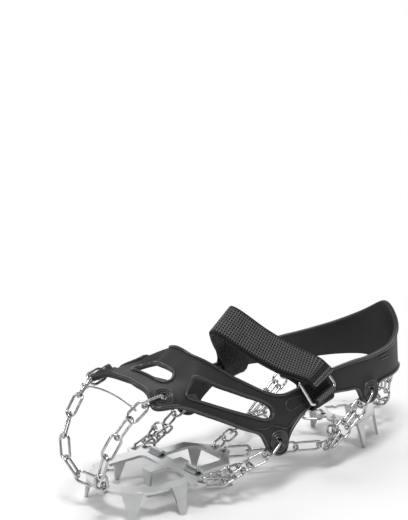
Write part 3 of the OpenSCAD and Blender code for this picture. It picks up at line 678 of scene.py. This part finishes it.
def rounded_rims(middle, normals, onward, outwards):
    """Points and faces that join the outer sheet to the inner one, numbered after both sheets' points."""
    n = len(middle)
    points, faces, column = [], [], {}
    for i in onward:
        first = 2 * n + len(points)
        column[i] = [i, *range(first, first + len(RIM_STEPS)), n + i]
        points.extend(middle[i] + outwards[i] * out + normals[i] * up for out, up in RIM_STEPS)
    for a, b in onward.items():
        for k in range(len(RIM_STEPS) + 1):
            faces.append((column[b][k], column[a][k], column[a][k + 1], column[b][k + 1]))
    return points, faces


def build_harness():
    """Points and faces of the harness, and for each face whether it is rubbed bright."""
    middle, faces, normals = smooth_sheet()
    onward = dict(rim_edges(faces))
    outwards = rim_outwards(middle, normals, onward)
    eyes = all_eyelets()
    near_eye = eyelet_distance(middle, eyes)
    thin = np.clip((near_eye - PAD_R) / PAD_FADE, 0, 1)
    collar = COLLAR_H * np.exp(-(((near_eye - COLLAR_R) / COLLAR_W) ** 2))
    collar *= np.clip(rim_distance(middle, list(onward)) / COLLAR_FADE, 0, 1)
    outer = middle + normals * (OUTER_LIFT * thin + PAD_LIFT * (1 - thin) + collar)[:, None]
    inner = middle - normals * INNER_DROP
    kept = [f for f in faces if near_eye[list(f)].mean() >= HOLE_R]
    n = len(middle)
    under = [tuple(n + i for i in reversed(f)) for f in kept]
    walls = [(b, a, n + a, n + b) for a, b in rim_edges(kept) if onward.get(a) != b]
    rim_points, rim_faces = rounded_rims(middle, normals, onward, outwards)
    parts = [(np.vstack([outer, inner, rim_points]), kept + under + walls + rim_faces)]
    parts += [boss_lathe(*eye) for eye in eyes]
    for loop in closed_loops(onward):
        line = [middle[i] - outwards[i] * BEAD_INSET + normals[i] * BEAD_RISE for i in loop]
        parts.append(tube(smoothed(line, BEAD_ROUNDS), BEAD_R, BEAD_SIDES, closed=True))
    surface = bvhtree.BVHTree.FromPolygons([tuple(p) for p in outer], kept)
    for line, side in RAISED_LINES:
        path = spline(part_points(mirrored(line, side)), LINE_STEPS)
        seat = [surface.find_nearest(Vector(q))[0] for q in path]
        parts.append(tube(smoothed(seat, LINE_ROUNDS, closed=False), LINE_R, LINE_SIDES))
    rubbed = [k > 0 for k, (_, part_faces) in enumerate(parts) for _ in part_faces]
    return joined(parts), rubbed


(harness_points, harness_faces), rubbed = build_harness()
harness = mesh_piece("harness_moulding", harness_points, harness_faces, "harness")
harness.data.materials.append(ELASTOMER)
harness.data.materials.append(LIP)
harness.data.polygons.foreach_set("material_index", [int(bright) for bright in rubbed])
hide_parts("harness")

# Instep strap: stations of [middle, direction across the webbing], from the buckle side

STRAP_T = 1.8
LAYER_GAP = 0.2
LAYER = STRAP_T + LAYER_GAP
RING_LOW = part_points([163.8, -52.6, 65.8])
RING_DIR = unit([0.93, 0.15, 0.302])
RING_SIDE = square_to([-7.5, 8.2, 17], RING_DIR)
RING_OUT = np.cross(RING_DIR, RING_SIDE)
RING_SPAN = 20.2
RING_HIGH = RING_LOW + RING_SIDE * RING_SPAN
BAR_R = 1.3
LOOP_ROOM = 0.9
LOOP_R = BAR_R + LOOP_ROOM + STRAP_T / 2
LOOP_TURNS = np.radians(np.arange(270, 90, -30))
FLANK = [([141.6, 31, 94], [0.78, -0.21, 0.59]), ([127, 18, 105.2], [0.74, -0.18, 0.648]),
         ([117.5, 10, 114], [0.74, -0.1, 0.66]), ([113, 4.5, 118.4], [0.74, -0.04, 0.667])]
CREST = ([111.5, 0, 119.8], [0.74, 0, 0.67])
ARM_DIR = unit([0.97, -0.06, 0.22])
WRAP = [[156, 34.6, 72.6], [158.5, 38, 66], [160, 42.3, 58.2], [160.5, 46.8, 54.6],
        [160.5, 51, 58], [160, 50.9, 64.6], [158.5, 48.2, 70.6], [155.5, 44, 77.6]]
WRAP_JOIN = 3

# The tucked end below the loop: share of the way to the first station, drop below the under layer
TUCK = ((0.85, 1.95), (0.55, 2.2), (0.3, 3.6))

# The tip past the ring, the layers' steps, the slant of the end and the section
TIP_STEPS = (6, 12)
UNDER_SHIFT = -1.3
UNDER_STEPS = 8
TOP_STEPS = 10
END_SLANT = 0.2
SLANT_REACH = 16
FLAT_STEPS = 14
FLAT_INSET = 1.4
EDGE_EASE = 0.12


def station(place, across, side):
    """A station in the frame, as written where side is 1, and on the near side where it is -1."""
    return part_points(mirrored(place, side)), unit(mirrored(across, side))


def strap_paths():
    """Stations of the under layer, of the top layer, and of the top layer's stretch over the under layer."""
    near = [station(*s, -1) for s in FLANK]
    far = [station(*s, 1) for s in reversed(FLANK)]
    first, first_across = near[0]
    up = unit(np.cross(RING_DIR, first - RING_HIGH))
    start = RING_HIGH + up * LOOP_R
    over = [(start, RING_DIR)] + near + [station(*CREST, 1)] + far
    wrap = [(p, ARM_DIR) for p in part_points(WRAP)]
    along = tangents(np.array([p for p, _ in over]))
    upper = [(p + unit(np.cross(w, t)) * LAYER, w) for (p, w), t in zip(over, along)]
    ahead = square_to(first - start, RING_DIR)
    loop = [(RING_HIGH + LOOP_R * (math.cos(a) * ahead + math.sin(a) * up), RING_DIR) for a in LOOP_TURNS]
    tuck = [(start + (first - start) * share - up * drop, RING_DIR * (1 - share) + first_across * share)
            for share, drop in TUCK]
    tip_dir = unit(unit(upper[0][0] - upper[1][0]) - RING_SIDE)
    tip = [(upper[0][0] + tip_dir * step, RING_DIR) for step in TIP_STEPS]
    under = tuck + loop + over + wrap[: WRAP_JOIN + 1]
    top = wrap[WRAP_JOIN:] + list(reversed(upper)) + tip
    return under, top, upper


def section(half, edge, corner, inset, steps, selvedge):
    """Outline of webbing cut across, as [across, through]; its second half is the first turned half round."""
    lower = [(x, -edge) for x in np.linspace(-half + inset, half - inset, steps)]
    lower = [(-half + corner, -edge)] + lower + [(half - corner, -edge)] + selvedge
    return lower + [(-x, -y) for x, y in lower]


def webbing(stations, per_span, shift=0.0, slant=0.0):
    """Points, faces and UVs of flat webbing with rounded selvedges and a slanted end, and its rows.

    The UVs are millimetres across it and from that end. A row is the distance from that end, the middle,
    and the directions across and through.
    """
    path = spline([p for p, _ in stations], per_span)
    across = evenly([w for _, w in stations], per_span)
    along = tangents(path)
    length = np.concatenate([[0], np.cumsum(np.linalg.norm(np.diff(path, axis=0), axis=1))])
    half = STRAP_W / 2
    edge = STRAP_T / 2
    selvedge = [(half - EDGE_EASE, -edge / 2), (half, 0), (half - EDGE_EASE, edge / 2)]
    ring = section(half, edge, edge / 2, FLAT_INSET, FLAT_STEPS, selvedge)
    points, uv, rows = [], [], []
    for p, w, t, v in zip(path, across, along, length[-1] - length):
        w = square_to(w, t)
        m = np.cross(w, t)
        lean = slant * max(0.0, 1 - v / SLANT_REACH)
        points.extend(p + (w + t * lean) * (x + shift) + m * y for x, y in ring)
        uv.extend((x + half, v) for x, _ in ring)
        rows.append((v, p, w + t * lean, m))
    faces = swept_faces(len(path), len(ring), flip=True) + end_faces(len(path), len(ring), flip=True)
    return np.array(points), faces, uv, rows


def on_webbing(rows, x, v, rise):
    """The point x across and v from the end of the webbing, a rise above its middle."""
    order = rows[::-1]
    spots = [row[0] for row in order]

    def between(k):
        return np.array([np.interp(v, spots, [row[k][i] for row in order]) for i in range(3)])

    return between(1) + between(2) * x + between(3) * rise


# Stitches: the thread, and the two rows across the hem
THREAD_R = 0.2
THREAD_SIDES = 6
THREAD_STEPS = 6
HEM_ROWS = (1.5, 3.7)
HEM_CORNERS = 25
HEM_W = 23
HEM_SWING = 0.8


def zigzag(count, place):
    """Stitches as a tube with count corners; place takes the share along the seam and the side of it."""
    corners = [(k / (count - 1), 1 if k % 2 else -1) for k in range(count)]
    return tube([place(*at) for at in evenly(corners, THREAD_STEPS)], THREAD_R, THREAD_SIDES)


def hem_row(rows, v):
    """A row of stitches across the outer face of the webbing, v from its end."""

    def place(share, side):
        return on_webbing(rows, HEM_W * (share - 0.5), v + HEM_SWING * side, -STRAP_T / 2)

    return zigzag(HEM_CORNERS, place)


under_stations, top_stations, upper_stations = strap_paths()
points, faces, uv, _ = webbing(under_stations, UNDER_STEPS, shift=UNDER_SHIFT)
strap_under = mesh_piece("strap_under_layer", points, faces, "harness", uv)
strap_under.data.materials.append(UNDER_WEB)
points, faces, uv, top_rows = webbing(top_stations, TOP_STEPS, slant=END_SLANT)
strap_top = mesh_piece("strap_upper_layer", points, faces, None, uv)
strap_top.data.materials.append(UPPER_WEB)
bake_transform(strap_top)
hem = [hem_row(top_rows, v) for v in HEM_ROWS]
hem_stitches = mesh_piece("hem_stitches", *joined(hem), "strap_end")
hem_stitches.data.materials.append(THREAD)
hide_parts("strap")
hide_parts("strap_end")

# Keeper: a webbing sleeve round the near arm, with a tunnel for the ring's lower bar

KEEPER_MID = part_points([163.5, -43.2, 67.4])
KEEPER_DIR = unit([0.97, 0.06, 0.22])
KEEPER_UP = square_to([0, 0.533, 0.846], KEEPER_DIR)
KEEPER_OUT = np.cross(KEEPER_DIR, KEEPER_UP)
KEEPER_W = 22.0
KEEPER_T = 1.5
KEEPER_BEND = 3.4
KEEPER_RISE = 9.3
KEEPER_FALL = 11
KEEPER_TURNS = np.radians(np.arange(0, 181, 20))
KEEPER_ROWS = 8
KEEPER_STEPS = 10
KEEPER_INSET = 1.5
KEEPER_CORNER = 0.3
KEEPER_EDGE = 0.4
BAR_ROOM = 0.3
TUNNEL_R = BAR_R + BAR_ROOM + KEEPER_T / 2
TUNNEL_TURNS = np.radians(np.arange(0, 360, 15))
SEAM_CORNERS = 21
SEAM_W = 20
SEAM_TURN = 8
SEAM_SWING = 33


def keeper_path():
    """Closed loop of the sleeve's middle line, seen along the arm: [outwards, upwards]."""
    r = KEEPER_BEND + KEEPER_T / 2
    rise = KEEPER_RISE - KEEPER_BEND
    fall = KEEPER_FALL - KEEPER_BEND
    upper = [(r * math.cos(a), rise + r * math.sin(a)) for a in KEEPER_TURNS]
    lower = [(-r * math.cos(a), -fall - r * math.sin(a)) for a in KEEPER_TURNS]
    flat = np.linspace(rise, -fall, KEEPER_ROWS)[1:-1]
    return upper + [(-r, y) for y in flat] + lower + [(r, y) for y in flat[::-1]]


def tunnel_path():
    """Closed loop of the tunnel's middle line, seen along the ring's lower bar."""
    return [(TUNNEL_R * math.cos(a), TUNNEL_R * math.sin(a)) for a in TUNNEL_TURNS]


def band(path, middle, out, up, axis):
    """Closed band of keeper webbing round a loop in the plane of out and up, with UVs in millimetres."""
    loop = np.array([middle + x * out + y * up for x, y in path])
    n = len(loop)
    ahead = tangents(loop, closed=True)
    steps = np.linalg.norm(np.roll(loop, -1, axis=0) - loop, axis=1)
    length = np.concatenate([[0], np.cumsum(steps)])
    half = KEEPER_W / 2
    edge = KEEPER_T / 2
    selvedge = [(half, -edge * KEEPER_EDGE), (half, edge * KEEPER_EDGE)]
    ring = section(half, edge, KEEPER_CORNER, KEEPER_INSET, KEEPER_STEPS, selvedge)
    points, uv = [], []
    for i in range(n + 1):
        normal = np.cross(axis, ahead[i % n])
        points.extend(loop[i % n] + axis * x + normal * y for x, y in ring)
        uv.extend((x + half, length[i]) for x, _ in ring)
    return np.array(points), swept_faces(n + 1, len(ring), flip=True), uv


def on_tunnel(share, side):
    """A point of the seam on the tunnel's outer face."""
    turn = math.radians(SEAM_TURN + SEAM_SWING * side)
    away = math.cos(turn) * RING_OUT + math.sin(turn) * RING_SIDE
    return RING_LOW + RING_DIR * SEAM_W * (share - 0.5) + (TUNNEL_R + KEEPER_T / 2) * away


sleeve = band(keeper_path(), KEEPER_MID, KEEPER_OUT, KEEPER_UP, KEEPER_DIR)
tunnel = band(tunnel_path(), RING_LOW, RING_OUT, RING_SIDE, RING_DIR)
keeper_points, keeper_faces = joined([sleeve[:2], tunnel[:2]])
keeper = mesh_piece("keeper_sleeve", keeper_points, keeper_faces, "harness", sleeve[2] + tunnel[2])
keeper.data.materials.append(KEEPER_WEB)
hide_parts("ring_keeper")
keeper_stitches = mesh_piece("keeper_stitches", *zigzag(SEAM_CORNERS, on_tunnel), "harness")
keeper_stitches.data.materials.append(THREAD)

# Stage: pale floor, soft lamps and the photograph's camera, in metres

FLOOR_HALF = 9
WHITE_FROM = 0.16
WHITE_BY = 0.42
AIM = (0, 0, 0.05)
SENSOR_H = 36.0
FOCAL_PX = 1355.2
PHOTO_H = 520
CAMERA_AT = (-0.6506, -0.7193, 0.4043)
CAMERA_AHEAD = (0.6234, 0.7432, -0.2430)
CAMERA_ROLL = 0.94
NEAREST_SEEN = 0.05

# The surround: height above the horizon, where 1 is overhead, and brightness
SURROUND = ((0.0, 1.0), (0.09, 0.94), (0.2, 0.2), (0.42, 0.22), (0.68, 0.45), (1.0, 0.55))
SURROUND_BLUE = 1.01


def build_floor():
    """Pale floor with the shadows near the object, white further off, and clear from below."""
    mesh = bpy.data.meshes.new("floor")
    corners = [(x * FLOOR_HALF, y * FLOOR_HALF, 0) for x, y in ((-1, -1), (1, -1), (1, 1), (-1, 1))]
    mesh.from_pydata(corners, [], [(0, 1, 2, 3)])
    floor = bpy.data.objects.new("floor", mesh)
    bpy.context.collection.objects.link(floor)
    look = Look("pale_floor", roughness=0.9, specular_ior_level=0.1)
    patch = look.noise(look.place(), scale=3.0, detail=3.0, roughness=0.5)
    look.colour(look.ramp(patch, (0.90, 0.90, 0.90), (0.93, 0.93, 0.93)))
    white = look.node("ShaderNodeEmission")
    white.inputs["Strength"].default_value = 1.0
    where = look.node("ShaderNodeTexCoord")
    reach = look.node("ShaderNodeVectorMath", operation="LENGTH")
    look.link(where.outputs["Object"], reach.inputs[0])
    far = look.span(reach.outputs["Value"], 0.0, 1.0, start=WHITE_FROM, end=WHITE_BY)
    rays = look.node("ShaderNodeLightPath")
    seen = look.math("MAXIMUM", rays.outputs["Is Camera Ray"], rays.outputs["Is Glossy Ray"])
    seen = look.math("MAXIMUM", seen, rays.outputs["Is Transmission Ray"])
    mix = look.node("ShaderNodeMixShader")
    look.link(look.math("MULTIPLY", far, seen), mix.inputs["Fac"])
    look.link(look.shader.outputs[0], mix.inputs[1])
    look.link(white.outputs[0], mix.inputs[2])
    clear = look.node("ShaderNodeBsdfTransparent")
    side = look.node("ShaderNodeNewGeometry")
    below = look.node("ShaderNodeMixShader")
    from_below = look.math("MULTIPLY", side.outputs["Backfacing"], rays.outputs["Is Camera Ray"])
    look.link(from_below, below.inputs["Fac"])
    look.link(mix.outputs[0], below.inputs[1])
    look.link(clear.outputs[0], below.inputs[2])
    look.link(below.outputs[0], look.tree.nodes["Material Output"].inputs["Surface"])
    mesh.materials.append(look.material)


def build_world():
    """Soft studio surround: pale at the horizon, darker above it and brighter overhead."""
    world = bpy.data.worlds.new("studio")
    bpy.context.scene.world = world
    world.use_nodes = True
    tree = world.node_tree
    where = tree.nodes.new("ShaderNodeTexCoord")
    split = tree.nodes.new("ShaderNodeSeparateXYZ")
    ramp = tree.nodes.new("ShaderNodeValToRGB")
    for at, _ in SURROUND[2:]:
        ramp.color_ramp.elements.new(at)
    for stop, (at, value) in zip(ramp.color_ramp.elements, SURROUND):
        stop.position = at
        stop.color = (value, value, value * SURROUND_BLUE, 1)
    tree.links.new(where.outputs["Generated"], split.inputs[0])
    tree.links.new(split.outputs["Z"], ramp.inputs["Fac"])
    tree.links.new(ramp.outputs["Color"], tree.nodes["Background"].inputs["Color"])


def lamp(name, place, power, size):
    """A round area lamp, aimed at the middle of the object."""
    data = bpy.data.lights.new(name, "AREA")
    data.energy = power
    data.shape = "DISK"
    data.size = size
    light = bpy.data.objects.new(name, data)
    light.location = place
    light.rotation_euler = (Vector(AIM) - Vector(place)).to_track_quat("-Z", "Y").to_euler()
    bpy.context.collection.objects.link(light)


def build_camera():
    """The camera fitted to the photograph."""
    data = bpy.data.cameras.new("photo_camera")
    data.sensor_fit = "VERTICAL"
    data.sensor_height = SENSOR_H
    data.lens = FOCAL_PX / PHOTO_H * SENSOR_H
    data.clip_start = NEAREST_SEEN
    camera = bpy.data.objects.new("photo_camera", data)
    camera.location = CAMERA_AT
    turn = Vector(CAMERA_AHEAD).to_track_quat("-Z", "Y").to_matrix().to_4x4()
    camera.rotation_euler = (turn @ Matrix.Rotation(math.radians(CAMERA_ROLL), 4, "Z")).to_euler()
    bpy.context.collection.objects.link(camera)
    bpy.context.scene.camera = camera


build_floor()
build_world()
lamp("key", (-0.5, -0.5, 1.7), power=17, size=0.5)
lamp("rim", (0.9, 0.9, 1.1), power=8, size=1.2)
lamp("side", (-1.3, 0.3, 0.8), power=5, size=0.4)
build_camera()
bpy.context.scene.view_settings.view_transform = "Standard"
